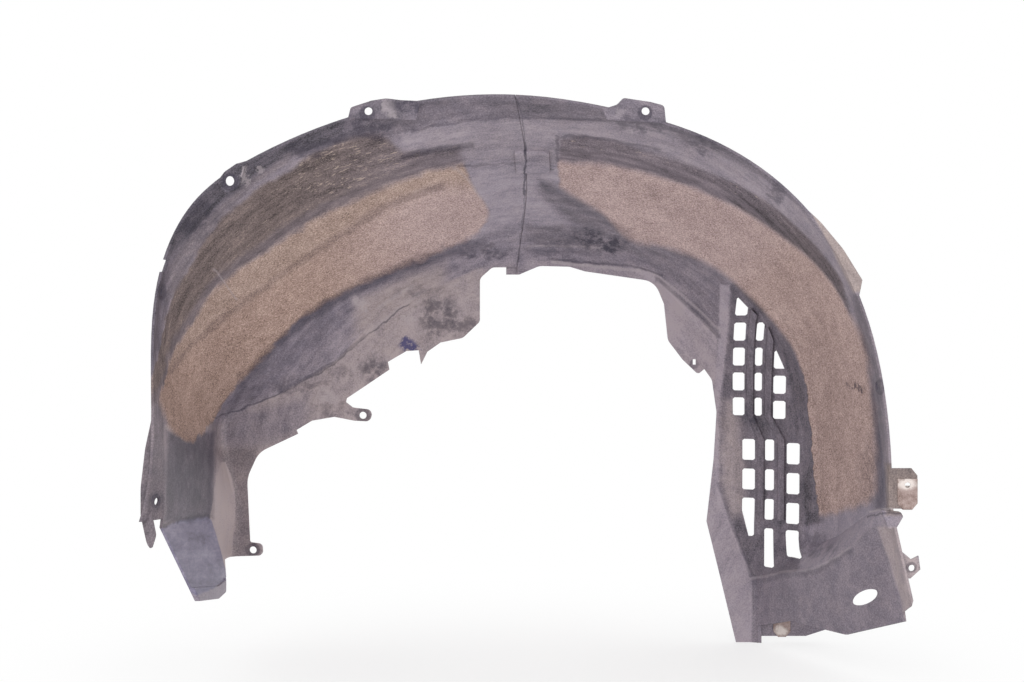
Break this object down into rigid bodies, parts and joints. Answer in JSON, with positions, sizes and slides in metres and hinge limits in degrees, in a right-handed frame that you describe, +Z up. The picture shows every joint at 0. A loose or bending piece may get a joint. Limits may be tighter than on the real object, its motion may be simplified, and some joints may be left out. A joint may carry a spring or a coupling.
{
  "type": "wheel arch liner",
  "caption": "Front wheel arch liner of lapped black plastic mouldings: a deep curved shell around the wheel, with a vent grille, fixing tabs, a torn inner edge and spring nuts.",
  "frame": {"origin": "midway between the holes of the top tabs, on the outer face of those tabs", "axes": "+X to the front of the car, +Y from the wheel side inwards, +Z up, as the liner hangs in the arch"},
  "size_m": [0.861, 0.3123, 0.6605],
  "materials": {
    "plastic": "black moulded plastic, greyed and browned by road dust",
    "nut_steel": "rusty, with worn bright spots"
  },
  "bodies": {
    "root": {"rear_liner": "plastic", "front_liner": "plastic", "spring_nut_side": "nut_steel", "spring_nut_lower": "nut_steel"}
  },
  "joints": []
}
